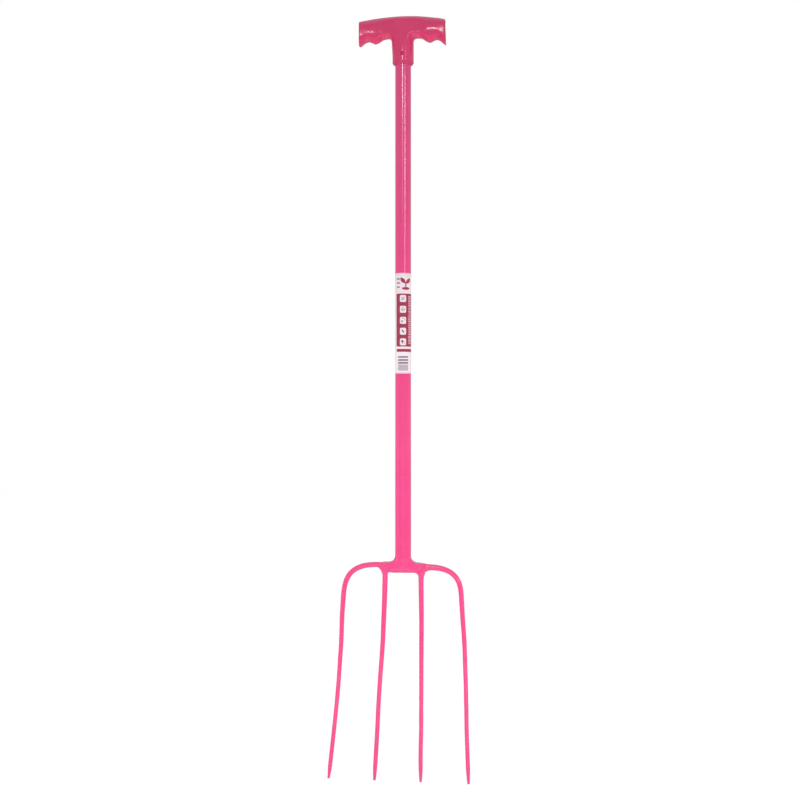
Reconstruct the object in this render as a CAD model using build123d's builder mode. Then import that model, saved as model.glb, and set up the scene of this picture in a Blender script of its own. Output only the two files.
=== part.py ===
from build123d import *
import math
import os

# ---------------------------------------------------------------------------
# Four-tine manure fork with a tubular steel shaft and a moulded T-grip.
# Frame: millimetres, +Z up along the shaft towards the grip, +X across the
# tines, -Y is the front: the hollow side of the dished head, which the tines
# lean towards. The origin is on the shaft axis, on the flat underside of the
# bridge between the two inner tines.
# ---------------------------------------------------------------------------

OVERCUT = 1.0  # how far a cut runs past the surface it starts from

# shaft tube
SHAFT_R = 12.7  # 25.4 mm (1 in) tube
SHAFT_WALL = 1.5
SHAFT_LOW = 8.0  # the tube's notched end straddles the bridge down to here
SHAFT_TOP = 850.0  # inside the grip's socket

# bridge: the bar that the tines and the tube are welded to
BRIDGE_HALF = 33.6
BRIDGE_DEPTH = 14.0
BRIDGE_HEIGHT = 16.0
BRIDGE_ROUND = 2.6
LAND_HALF = 20.4  # the flat rest on the underside, between the inner tines' welds
RELIEF = 0.3  # how far the underside stands back beyond the land, at the tines
SPIGOT_R = 11.15  # a slide fit inside the tube
SPIGOT_LENGTH = 32.0
SPIGOT_SINK = 4.0  # how far the spigot starts below the bridge's top
SPIGOT_BEVEL = 1.5
TRIM_MARGIN = 15.0  # reach of the trimming cut in front of and behind the bridge

# tines
TINE_ROOT_R = 4.2
TINE_MID_R = 3.35
TINE_LENGTH = 312.0
DRAW_START = 5.0  # the bar is drawn down from the root radius between here
DRAW_END = 75.0  # and here, measured below the underside
TAPER = 30.0  # length of the drawn-down point
TAPER_END_R = 1.5  # radius the taper alone would reach at the very end
NOSE_LENGTH = 1.4  # rounded end of the point
NOSE_FLAT_R = 0.6
NOSE_ROUND = 1.05  # what the rounding adds to the flat's radius
TIP_TANGENT = (0.02, -0.28, -0.96)
INNER_ROOT_X = 29.2

# grip screw: one self-tapping pan head screw at the front of the collar
SCREW_Z = 826.0
SCREW_HEAD_R = 3.0
SCREW_HEAD_LENGTH = 2.0
SCREW_HEAD_ROUND = 0.9
SCREW_HEAD_FIT = 0.25  # radial clearance in the counterbore
SCREW_SHANK_R = 1.8
SCREW_SHANK_FIT = 0.02  # radial clearance in the holes
SCREW_SEAT = 2.9  # depth of the counterbore's floor below the collar's surface
SCREW_END = 9.4  # distance of the screw's end from the shaft axis
SCREW_END_BEVEL = 0.6
SCREW_HOLE_LEAD = 2.0  # the hole cuts start this far in front of the surface
SCREW_HOLE_CUT = 8.0  # and the shank's holes run this far from there
RECESS_SPAN = 3.2
RECESS_SLOT = 0.8
RECESS_DEPTH = 1.2

# label: printed film wrapped round the tube
LABEL_LOW = 318.4
LABEL_HIGH = 477.6
LABEL_THICK = 0.12
LABEL_GAP = 0.01  # between the tube and the film
LABEL_SEAM_DEG = 4.0


def smooth(table, at):
    """Cubic interpolation through (position, value) rows, held level past both ends."""
    last = len(table) - 1
    if at <= table[0][0]:
        return table[0][1]
    if at >= table[-1][0]:
        return table[-1][1]
    row = 0
    while at > table[row + 1][0]:
        row += 1

    def slope(j):
        before, after = max(j - 1, 0), min(j + 1, last)
        return (table[after][1] - table[before][1]) / (table[after][0] - table[before][0])

    (start, start_value), (end, end_value) = table[row], table[row + 1]
    width = end - start
    t = (at - start) / width
    return (
        (2 * t**3 - 3 * t**2 + 1) * start_value
        + (t**3 - 2 * t**2 + t) * width * slope(row)
        + (-2 * t**3 + 3 * t**2) * end_value
        + (t**3 - t**2) * width * slope(row + 1)
    )


def both_sides(half):
    """Symmetric outline from its right half: up the left side, down the right."""
    return [(-across, up) for across, up in half] + list(reversed(half))


def mirrored(right):
    """The left-hand twin of a right-hand part."""
    with BuildPart() as left:
        mirror(right, about=Plane.YZ)
    return left.part


def screw_hole_plane(surface_r):
    """Where a hole for the grip screw starts, in front of a surface; it faces back."""
    return Plane(origin=(0, -surface_r - SCREW_HOLE_LEAD, SCREW_Z), z_dir=(0, 1, 0))


# ---------------------------------------------------------------------------
# bridge: a forged bar with a turned spigot that locates the tube
# ---------------------------------------------------------------------------
with BuildPart() as bridge:
    with BuildSketch(Plane.XY):
        RectangleRounded(2 * BRIDGE_HALF, BRIDGE_DEPTH, BRIDGE_ROUND)
    extrude(amount=BRIDGE_HEIGHT)
    long_edges = bridge.edges().filter_by(Axis.X)
    fillet(long_edges.group_by(Axis.Z)[-1], BRIDGE_ROUND)
    with BuildSketch(Plane.XY.offset(BRIDGE_HEIGHT - SPIGOT_SINK)):
        Circle(SPIGOT_R)
    with BuildSketch(Plane.XY.offset(BRIDGE_HEIGHT + SPIGOT_LENGTH)):
        Circle(SPIGOT_R)
    loft()
    # the sunk end of the spigot is trimmed flush with the bar's front and back
    with BuildSketch(Plane.XY.offset(-OVERCUT)):
        Rectangle(2 * BRIDGE_HALF + 4 * OVERCUT, BRIDGE_DEPTH + 2 * TRIM_MARGIN)
        Rectangle(2 * BRIDGE_HALF, BRIDGE_DEPTH, mode=Mode.SUBTRACT)
    extrude(amount=BRIDGE_HEIGHT + OVERCUT, mode=Mode.SUBTRACT)
    # the underside is relieved at both ends, which leaves the land proud
    with BuildSketch(Plane.XY):
        Rectangle(2 * BRIDGE_HALF + 2 * OVERCUT, BRIDGE_DEPTH + 2 * OVERCUT)
        Rectangle(2 * LAND_HALF, BRIDGE_DEPTH + 2 * OVERCUT, mode=Mode.SUBTRACT)
    extrude(amount=RELIEF, mode=Mode.SUBTRACT)
    chamfer(bridge.faces().sort_by(Axis.Z)[-1].edges(), SPIGOT_BEVEL)

# ---------------------------------------------------------------------------
# shaft tube: the lower end is notched to straddle the bridge, and there is a
# pilot hole for the grip screw
# ---------------------------------------------------------------------------
with BuildPart() as shaft_tube:
    with BuildSketch(Plane.XY.offset(SHAFT_LOW)):
        Circle(SHAFT_R)
        Circle(SHAFT_R - SHAFT_WALL, mode=Mode.SUBTRACT)
    extrude(amount=SHAFT_TOP - SHAFT_LOW)
    with BuildSketch(Plane.XY.offset(SHAFT_LOW - OVERCUT)):
        Rectangle(2 * BRIDGE_HALF, BRIDGE_DEPTH)
    extrude(amount=BRIDGE_HEIGHT - SHAFT_LOW + OVERCUT, mode=Mode.SUBTRACT)
    with BuildSketch(screw_hole_plane(SHAFT_R)):
        Circle(SCREW_SHANK_R + SCREW_SHANK_FIT)
    extrude(amount=SCREW_HOLE_CUT, mode=Mode.SUBTRACT)

# ---------------------------------------------------------------------------
# label, with its butt seam at the back of the tube
# ---------------------------------------------------------------------------
with BuildPart() as shaft_label:
    with BuildSketch(
        Plane(origin=(0, 0, 0), x_dir=(0, 1, 0), z_dir=(1, 0, 0)).rotated(
            (0, 0, LABEL_SEAM_DEG / 2)
        )
    ):
        with Locations(
            (SHAFT_R + LABEL_GAP + LABEL_THICK / 2, (LABEL_LOW + LABEL_HIGH) / 2)
        ):
            Rectangle(LABEL_THICK, LABEL_HIGH - LABEL_LOW)
    revolve(axis=Axis.Z, revolution_arc=360 - LABEL_SEAM_DEG)

# ---------------------------------------------------------------------------
# tines: round bar, drawn down below the root and pointed at the end
# ---------------------------------------------------------------------------
# In these tables "below" is the distance below the underside of the bridge.
# How far a tine leans forward: (below, lean).
LEAN = (
    (0.0, 0.0), (30.0, 3.2), (60.0, 5.8), (90.0, 8.0), (110.0, 10.2),
    (130.0, 14.0), (150.0, 19.3), (180.0, 28.2), (210.0, 37.4), (240.0, 46.6),
    (270.0, 55.8), (300.0, 64.8), (TINE_LENGTH, 68.2),
)
# Where the inner and the outer tines stand from the middle: (below, x).
INNER_X = (
    (0.0, INNER_ROOT_X), (40.0, 29.5), (80.0, 30.3), (120.0, 31.3), (160.0, 32.6),
    (200.0, 33.7), (240.0, 34.4), (280.0, 35.1), (TINE_LENGTH, 35.7),
)
OUTER_X = (
    (32.0, 94.2), (50.0, 95.5), (80.0, 97.3), (120.0, 99.2), (160.0, 100.8),
    (200.0, 102.4), (240.0, 104.4), (280.0, 106.6), (TINE_LENGTH, 108.4),
)
# The outer arm, from the end of the bridge over the shoulder: (x, z).
ARM = (
    (BRIDGE_HALF, 10.3), (43.5, 9.9), (53.1, 9.3), (62.9, 7.6), (72.6, 3.9),
    (80.4, -1.2), (86.2, -7.4), (90.2, -14.6), (92.7, -22.8), (94.2, -32.0),
)
# Sections that all tines share, closer together towards the point: below.
INNER_ROOT_STATIONS = (-RELIEF, 12, 27)
TINE_STATIONS = (
    50, 75, 98, 114, 130, 148, 168, 190, 212, 234, 256, 272, 284,
    293, 300, 305, 308.5, 310.6, 311.6, TINE_LENGTH,
)


def tine_radius(below):
    """Radius of a tine at a distance below the underside of the bridge."""
    if below < DRAW_START:
        return TINE_ROOT_R
    if below < DRAW_END:
        t = (below - DRAW_START) / (DRAW_END - DRAW_START)
        return TINE_ROOT_R + (TINE_MID_R - TINE_ROOT_R) * t * t * (3 - 2 * t)
    left = TINE_LENGTH - below
    if left > TAPER:
        return TINE_MID_R
    if left < NOSE_LENGTH:
        return NOSE_FLAT_R + NOSE_ROUND * math.sqrt(1 - (1 - left / NOSE_LENGTH) ** 2)
    return TAPER_END_R + (TINE_MID_R - TAPER_END_R) * math.sin(math.pi / 2 * left / TAPER)


def tine_points(across, stations):
    """Points on a tine's axis, from its (below, x) table."""
    return [(smooth(across, below), -smooth(LEAN, below), -below) for below in stations]


def make_tine(points, stations, start_tangent):
    """Loft round sections, square to the axis through the points, from root to point."""
    axis = Spline(*points, tangents=[start_tangent, TIP_TANGENT])
    planes = []
    for point in points:
        u = axis.param_at_point(Vector(*point))
        along = axis.tangent_at(u)
        side = Vector(0, 1, 0) - along * along.dot(Vector(0, 1, 0))
        planes.append(Plane(origin=axis @ u, x_dir=side, z_dir=along))
    with BuildPart() as tine:
        for plane, below in zip(planes, stations):
            with BuildSketch(plane):
                Circle(tine_radius(below))
        loft()
    return tine.part


inner_stations = [*INNER_ROOT_STATIONS, *TINE_STATIONS]
tine_inner_right = make_tine(
    tine_points(INNER_X, inner_stations), inner_stations, start_tangent=(0, 0, -1)
)

arm_points = [(x, -smooth(LEAN, -z), z) for x, z in ARM]
tine_outer_right = make_tine(
    arm_points + tine_points(OUTER_X, TINE_STATIONS),
    [-z for _, z in ARM] + [*TINE_STATIONS],
    start_tangent=(1, 0, 0),
)

# ---------------------------------------------------------------------------
# foot weld: a fillet round the foot of the tube, running down both faces of
# the bridge
# ---------------------------------------------------------------------------
FOOT_R = 20.6
FOOT_LOW = 2.0
FOOT_LOW_R = FOOT_R - 3.0
FOOT_FULL_Z = 9.0  # the weld reaches its full radius here
FOOT_SHOULDER = 16.6
FOOT_HOLLOW = (15.6, 19.6)  # middle of the concave face: (radius, z)
FOOT_TOP = 26.4
FOOT_TOP_R = SHAFT_R + 0.25
FOOT_BORE_CUT = 30.0
# The bead slopes in to the faces of the bridge, front and back: (y, z).
FOOT_SLOPE = (
    (7.2, 1.0), (9.6, 6.0), (12.9, 12.0), (14.2, 17.0), (13.1, FOOT_TOP + OVERCUT),
)
FOOT_MARGIN = 5.0  # reach of the sloped profile past the weld, to each side

with BuildPart() as weld_shaft:
    with BuildSketch(Plane.XZ):
        with BuildLine():
            Line((0, FOOT_LOW), (FOOT_LOW_R, FOOT_LOW))
            Line((FOOT_LOW_R, FOOT_LOW), (FOOT_R, FOOT_FULL_Z))
            Line((FOOT_R, FOOT_FULL_Z), (FOOT_R, FOOT_SHOULDER))
            ThreePointArc((FOOT_R, FOOT_SHOULDER), FOOT_HOLLOW, (FOOT_TOP_R, FOOT_TOP))
            Line((FOOT_TOP_R, FOOT_TOP), (0, FOOT_TOP))
            Line((0, FOOT_TOP), (0, FOOT_LOW))
        make_face()
    revolve(axis=Axis.Z)
    with BuildSketch(Plane.YZ.offset(-FOOT_R - FOOT_MARGIN)):
        with BuildLine():
            Polyline(*both_sides(FOOT_SLOPE), close=True)
        make_face()
    extrude(amount=2 * FOOT_R + 2 * FOOT_MARGIN, mode=Mode.INTERSECT)
    # room for the tube and the bridge
    with BuildSketch(Plane.XY.offset(SHAFT_LOW)):
        Circle(SHAFT_R)
    extrude(amount=FOOT_BORE_CUT, mode=Mode.SUBTRACT)
    with BuildSketch(Plane.XY):
        Rectangle(2 * BRIDGE_HALF, BRIDGE_DEPTH)
    extrude(amount=BRIDGE_HEIGHT, mode=Mode.SUBTRACT)

# ---------------------------------------------------------------------------
# inner weld: a fillet round the root of an inner tine, under the bridge
# ---------------------------------------------------------------------------
INNER_LOW = -4.6
INNER_CORE_X = INNER_ROOT_X - 3.0  # inside the tine, which is cut away
INNER_TOE_X = INNER_ROOT_X - 4.3
INNER_HOLLOW = (INNER_ROOT_X - 5.5, -1.45)  # middle of the concave face: (x, z)
INNER_EDGE_X = INNER_ROOT_X - 8.6
CLIP_LOW = 6.0  # the clipping block's depth below the underside
CLIP_PAST_MIDDLE = 4.0  # and its reach to the left of the shaft axis

with BuildPart() as weld_inner_right:
    with BuildSketch(Plane.XZ):
        with BuildLine():
            Line((INNER_CORE_X, INNER_LOW), (INNER_TOE_X, INNER_LOW))
            ThreePointArc((INNER_TOE_X, INNER_LOW), INNER_HOLLOW, (INNER_EDGE_X, RELIEF))
            Line((INNER_EDGE_X, RELIEF), (INNER_CORE_X, RELIEF))
            Line((INNER_CORE_X, RELIEF), (INNER_CORE_X, INNER_LOW))
        make_face()
    revolve(axis=Axis(origin=(INNER_ROOT_X, 0, 0), direction=(0, 0, 1)))
    # clipped to the front, back and end of the bridge
    with BuildSketch(Plane.XY.offset(-CLIP_LOW)):
        with Locations(((BRIDGE_HALF - CLIP_PAST_MIDDLE) / 2, 0)):
            Rectangle(BRIDGE_HALF + CLIP_PAST_MIDDLE, BRIDGE_DEPTH)
    extrude(amount=CLIP_LOW + RELIEF, mode=Mode.INTERSECT)
    add(tine_inner_right, mode=Mode.SUBTRACT)

# ---------------------------------------------------------------------------
# outer weld: in the corner between an outer arm and the inner tine beside it
# ---------------------------------------------------------------------------
OUTER_HALF = 4.4  # half its thickness, front to back
OUTER_LOW = -4.4
OUTER_TOP = 10.0
OUTER_TOE_X = BRIDGE_HALF + 0.5
OUTER_HOLLOW = (BRIDGE_HALF + 3.4, 2.6)  # middle of the concave face: (x, z)
OUTER_END = (BRIDGE_HALF + 10.5, 5.5)  # far end of the concave face: (x, z)

with BuildPart() as weld_outer_right:
    with BuildSketch(Plane.XZ.offset(-OUTER_HALF)):
        with BuildLine():
            Line((BRIDGE_HALF, OUTER_TOP), (BRIDGE_HALF, OUTER_LOW))
            Line((BRIDGE_HALF, OUTER_LOW), (OUTER_TOE_X, OUTER_LOW))
            ThreePointArc((OUTER_TOE_X, OUTER_LOW), OUTER_HOLLOW, OUTER_END)
            Line(OUTER_END, (OUTER_END[0], OUTER_TOP))
            Line((OUTER_END[0], OUTER_TOP), (BRIDGE_HALF, OUTER_TOP))
        make_face()
    extrude(amount=2 * OUTER_HALF)
    add(bridge.part, mode=Mode.SUBTRACT)
    add(tine_outer_right, mode=Mode.SUBTRACT)
    add(tine_inner_right, mode=Mode.SUBTRACT)
    add(weld_inner_right.part, mode=Mode.SUBTRACT)

# ---------------------------------------------------------------------------
# T-grip: one moulding. A crossbar with two finger grooves each side of the
# stem, cored out from both ends, and a stem with the tube's socket.
# ---------------------------------------------------------------------------
GRIP_HALF = 67.8
GRIP_DEPTH = 14.2  # half depth of the crossbar
GRIP_TOP = 888.4
GRIP_ARCH_R = 345.0
GRIP_AXIS_DROP = 15.2  # widest level of the crossbar, below its top
SECTION_POINTS = 16
SECTION_POWER = 0.85  # 1 would make each half of a section an ellipse
COLLAR_R = 17.0
COLLAR_BOTTOM = 809.8
COLLAR_BEVEL = 3.6
STEM_HEIGHT = 60.0
STEM_MARGIN = 3.0  # reach of the sloped profile past the collar, to each side
STEM_FILLET = 6.0
SOCKET_R = SHAFT_R + 0.05
SOCKET_TOP = SHAFT_TOP + 1.0
CORE_DEPTH = 40.0
CORE_WALL = 3.4
CORE_DRAFT = 0.012  # extra wall for each millimetre in from the end
CORE_OVERCUT = 0.5

# Underside of the crossbar: (distance from its middle, z).
UNDERSIDE = (
    (0.0, 854.6), (14.0, 854.6), (19.0, 854.6), (25.0, 854.4), (31.0, 852.9),
    (37.0, 848.9), (43.5, 846.4), (48.5, 848.4), (54.4, 850.4), (60.0, 848.2),
    (64.0, 844.6), (GRIP_HALF, 841.8),
)
# The stem's front and back slope in to the faces of the crossbar: (y, z).
STEM_SLOPE = (
    (COLLAR_R + 1, COLLAR_BOTTOM - 5), (COLLAR_R + 0.01, 834.0), (13.0, 868.0),
)
# Sections of the crossbar and of the right core: x.
RIGHT_STATIONS = (9, 18, 25, 31, 37, 43.5, 48.5, 54.4, 60, 64, GRIP_HALF)
GRIP_STATIONS = [-x for x in reversed(RIGHT_STATIONS)] + [0, *RIGHT_STATIONS]
CORE_START = GRIP_HALF - CORE_DEPTH
CORE_STATIONS = [
    CORE_START,
    *[x for x in RIGHT_STATIONS if CORE_START < x < GRIP_HALF],
    GRIP_HALF + CORE_OVERCUT,
]


def crossbar_plane(x):
    """Plane across the crossbar at x, for (y, z) points."""
    return Plane(origin=(x, 0, 0), x_dir=(0, 1, 0), z_dir=(1, 0, 0))


def crossbar_section(x, inset=0.0):
    """(y, z) points round the crossbar at x: fuller than an ellipse, grooved below."""
    top = GRIP_TOP - x * x / (2 * GRIP_ARCH_R)
    low = smooth(UNDERSIDE, abs(x))
    widest = top - GRIP_AXIS_DROP
    points = []
    for k in range(SECTION_POINTS):
        angle = 2 * math.pi * k / SECTION_POINTS
        cosine, sine = math.cos(angle), math.sin(angle)
        across = math.copysign(abs(cosine) ** SECTION_POWER, cosine)
        up = math.copysign(abs(sine) ** SECTION_POWER, sine)
        rise = (top - widest if sine > 0 else widest - low) - inset
        points.append(((GRIP_DEPTH - inset) * across, widest + up * rise))
    return points


# stem: a round collar, sloped front and back
with BuildPart() as grip_stem:
    with BuildSketch(Plane.XY.offset(COLLAR_BOTTOM)):
        Circle(COLLAR_R)
    extrude(amount=STEM_HEIGHT)
    with BuildSketch(Plane.YZ.offset(-COLLAR_R - STEM_MARGIN)):
        with BuildLine():
            Polyline(*both_sides(STEM_SLOPE), close=True)
        make_face()
    extrude(amount=2 * COLLAR_R + 2 * STEM_MARGIN, mode=Mode.INTERSECT)
    chamfer(grip_stem.faces().sort_by(Axis.Z)[0].edges(), COLLAR_BEVEL)

# cores: tapered pockets that leave an even wall
with BuildPart() as grip_core_right:
    for x in CORE_STATIONS:
        inset = CORE_WALL + CORE_DRAFT * (GRIP_HALF - x)
        with BuildSketch(crossbar_plane(x)):
            with BuildLine():
                Spline(*crossbar_section(min(x, GRIP_HALF), inset), periodic=True)
            make_face()
    loft()

with BuildPart() as grip:
    for x in GRIP_STATIONS:
        with BuildSketch(crossbar_plane(x)):
            with BuildLine():
                Spline(*crossbar_section(x), periodic=True)
            make_face()
    loft()
    add(grip_stem.part)
    # the edges where the stem meets the crossbar
    stem_edges = [
        e
        for e in grip.edges()
        if 845 < e.center().Z < 872 and 5 < abs(e.center().X) < 30
    ]
    fillet(stem_edges, STEM_FILLET)
    add(grip_core_right.part, mode=Mode.SUBTRACT)
    add(mirrored(grip_core_right.part), mode=Mode.SUBTRACT)
    # socket for the tube
    with BuildSketch(Plane.XY.offset(COLLAR_BOTTOM - OVERCUT)):
        Circle(SOCKET_R)
    extrude(amount=SOCKET_TOP - COLLAR_BOTTOM + OVERCUT, mode=Mode.SUBTRACT)
    # counterbored hole for the screw
    with BuildSketch(screw_hole_plane(COLLAR_R)):
        Circle(SCREW_HEAD_R + SCREW_HEAD_FIT)
    extrude(amount=SCREW_HOLE_LEAD + SCREW_SEAT, mode=Mode.SUBTRACT)
    with BuildSketch(screw_hole_plane(COLLAR_R)):
        Circle(SCREW_SHANK_R + SCREW_SHANK_FIT)
    extrude(amount=SCREW_HOLE_CUT, mode=Mode.SUBTRACT)

# ---------------------------------------------------------------------------
# grip screw: pan head with a cross recess
# ---------------------------------------------------------------------------
SEAT_Y = -COLLAR_R + SCREW_SEAT
HEAD_FRONT_Y = SEAT_Y - SCREW_HEAD_LENGTH

with BuildPart() as grip_screw:
    with BuildSketch(Plane(origin=(0, SEAT_Y, SCREW_Z), z_dir=(0, -1, 0))):
        Circle(SCREW_HEAD_R)
    extrude(amount=SCREW_HEAD_LENGTH)
    fillet(grip_screw.faces().sort_by(Axis.Y)[0].edges(), SCREW_HEAD_ROUND)
    with BuildSketch(Plane(origin=(0, HEAD_FRONT_Y, SCREW_Z), z_dir=(0, 1, 0))):
        Rectangle(RECESS_SPAN, RECESS_SLOT)
        Rectangle(RECESS_SLOT, RECESS_SPAN)
    extrude(amount=RECESS_DEPTH, mode=Mode.SUBTRACT)
    with BuildSketch(Plane(origin=(0, SEAT_Y, SCREW_Z), z_dir=(0, 1, 0))):
        Circle(SCREW_SHANK_R)
    extrude(amount=-SEAT_Y - SCREW_END)
    chamfer(grip_screw.faces().sort_by(Axis.Y)[-1].edges(), SCREW_END_BEVEL)

# ---------------------------------------------------------------------------
# one file for each piece
# ---------------------------------------------------------------------------
PIECES = {
    "grip": grip.part,
    "grip_screw": grip_screw.part,
    "shaft_tube": shaft_tube.part,
    "shaft_label": shaft_label.part,
    "bridge": bridge.part,
    "tine_outer_left": mirrored(tine_outer_right),
    "tine_inner_left": mirrored(tine_inner_right),
    "tine_inner_right": tine_inner_right,
    "tine_outer_right": tine_outer_right,
    "weld_shaft": weld_shaft.part,
    "weld_outer_left": mirrored(weld_outer_right.part),
    "weld_inner_left": mirrored(weld_inner_right.part),
    "weld_inner_right": weld_inner_right.part,
    "weld_outer_right": weld_outer_right.part,
}
os.makedirs("parts", exist_ok=True)
for name, part in PIECES.items():
    part.label = name
    export_step(part, f"parts/{name}.step")
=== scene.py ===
"""A pink four-tined garden fork, standing upright.

+X is right, -Y is the front and +Z is up. The Z axis is the middle of the shaft, and
z = 0 is the underside of the bridge, where the tines start. The tines run down from
there, leaning to the front; the shaft runs up to the crossbar grip.

Shapes are worked out in millimetres and written to the meshes in metres. Materials,
lights and the camera are in metres.
"""
import math

import bmesh
import bpy
import numpy as np
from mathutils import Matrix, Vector


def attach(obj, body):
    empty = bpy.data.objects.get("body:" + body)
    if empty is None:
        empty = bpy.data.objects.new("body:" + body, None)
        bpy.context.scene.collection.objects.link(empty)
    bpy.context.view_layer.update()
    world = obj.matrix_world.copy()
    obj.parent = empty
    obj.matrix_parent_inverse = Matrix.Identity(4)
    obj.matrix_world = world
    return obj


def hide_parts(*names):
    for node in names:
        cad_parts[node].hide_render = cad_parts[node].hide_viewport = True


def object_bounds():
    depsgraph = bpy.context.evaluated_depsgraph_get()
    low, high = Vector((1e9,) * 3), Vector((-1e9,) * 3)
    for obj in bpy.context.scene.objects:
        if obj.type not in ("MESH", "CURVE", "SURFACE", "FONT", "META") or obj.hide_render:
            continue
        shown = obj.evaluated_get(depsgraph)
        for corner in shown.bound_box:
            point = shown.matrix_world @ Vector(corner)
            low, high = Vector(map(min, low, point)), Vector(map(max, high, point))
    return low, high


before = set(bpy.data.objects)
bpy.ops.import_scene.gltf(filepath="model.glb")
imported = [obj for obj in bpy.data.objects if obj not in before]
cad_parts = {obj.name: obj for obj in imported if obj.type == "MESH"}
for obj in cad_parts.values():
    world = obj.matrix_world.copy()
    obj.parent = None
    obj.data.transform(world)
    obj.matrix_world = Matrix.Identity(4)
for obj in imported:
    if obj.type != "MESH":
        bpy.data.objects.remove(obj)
CAD_LOW, CAD_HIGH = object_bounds()

MM = 0.001
LOWEST = CAD_LOW.z / MM
SIDES = (("right", 1.0), ("left", -1.0))


# ---------------------------------------------------------------------------
# curves and blends
# ---------------------------------------------------------------------------
def smooth(table):
    """Cubic curve through (position, value) rows, as a function of an array."""
    place = np.array([row[0] for row in table], float)
    value = np.array([row[1] for row in table], float)
    count = len(place)
    before = np.maximum(np.arange(count) - 1, 0)
    after = np.minimum(np.arange(count) + 1, count - 1)
    slope = (value[after] - value[before]) / (place[after] - place[before])

    def at(x):
        x = np.clip(np.asarray(x, float), place[0], place[-1])
        k = np.clip(np.searchsorted(place, x, side="left") - 1, 0, count - 2)
        width = place[k + 1] - place[k]
        t = (x - place[k]) / width
        return (
            (2 * t**3 - 3 * t**2 + 1) * value[k]
            + (t**3 - 2 * t**2 + t) * width * slope[k]
            + (-2 * t**3 + 3 * t**2) * value[k + 1]
            + (t**3 - t**2) * width * slope[k + 1]
        )

    return at


def ramp(x, start, end):
    """Eases from 0 at start to 1 at end."""
    t = np.clip((x - start) / (end - start), 0.0, 1.0)
    return t * t * (3 - 2 * t)


def soft_min(a, b, blend):
    """The union of two distances, rounded over the length blend."""
    h = np.maximum(blend - np.abs(a - b), 0.0) / blend
    return np.minimum(a, b) - h * h * blend / 4


def soft_max(a, b, blend):
    """The overlap of two distances, rounded over the length blend."""
    return -soft_min(-a, -b, blend)


def ripple(x, y, z, pitch, seed):
    """A smooth repeatable unevenness, about -1 to 1, with features near pitch."""
    rng = np.random.default_rng(seed)
    total = 0.0
    for _ in range(6):
        d = rng.normal(size=3)
        d = d / np.linalg.norm(d) * (2 * math.pi / pitch) * rng.uniform(0.7, 1.4)
        total = total + np.sin(d[0] * x + d[1] * y + d[2] * z + rng.uniform(0, 6.28))
    return total / 3.0


# ---------------------------------------------------------------------------
# meshes
# ---------------------------------------------------------------------------
def mesh_object(name, points, faces, materials, face_material=None):
    """A smooth-shaded object. points in mm; faces an (n, 4) array or a list of tuples."""
    mesh = bpy.data.meshes.new(name)
    points = np.asarray(points, float) * MM
    if isinstance(faces, np.ndarray):
        count, corners = faces.shape
        mesh.vertices.add(len(points))
        mesh.vertices.foreach_set("co", points.astype(np.float32).ravel())
        mesh.loops.add(count * corners)
        mesh.loops.foreach_set("vertex_index", faces.astype(np.int32).ravel())
        mesh.polygons.add(count)
        mesh.polygons.foreach_set("loop_start", (np.arange(count) * corners).astype(np.int32))
    else:
        mesh.from_pydata([tuple(p) for p in points], [], faces)
    mesh.update(calc_edges=True)
    mesh.validate()
    for material in materials:
        mesh.materials.append(material)
    if face_material is not None:
        mesh.polygons.foreach_set("material_index", np.asarray(face_material, np.int32))
    mesh.polygons.foreach_set("use_smooth", np.ones(len(mesh.polygons), dtype=bool))
    obj = bpy.data.objects.new(name, mesh)
    bpy.context.scene.collection.objects.link(obj)
    return obj


def register(obj, node=None):
    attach(obj, "root")
    if node:
        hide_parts(node)


def settle_points(distance, points, step, rounds):
    """Moves points onto the surface where distance is zero, along its gradient."""
    h = 0.02
    for _ in range(rounds):
        value = distance(*points.T)
        slope = np.stack(
            [distance(*(points + d).T) - distance(*(points - d).T) for d in h * np.eye(3)], 1
        ) / (2 * h)
        scale = value / np.maximum((slope * slope).sum(1), 0.05)
        move = -slope * scale[:, None]
        length = np.linalg.norm(move, axis=1)
        move *= np.minimum(1.0, 0.6 * step / np.maximum(length, 1e-9))[:, None]
        points = points + move
    return points


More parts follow.
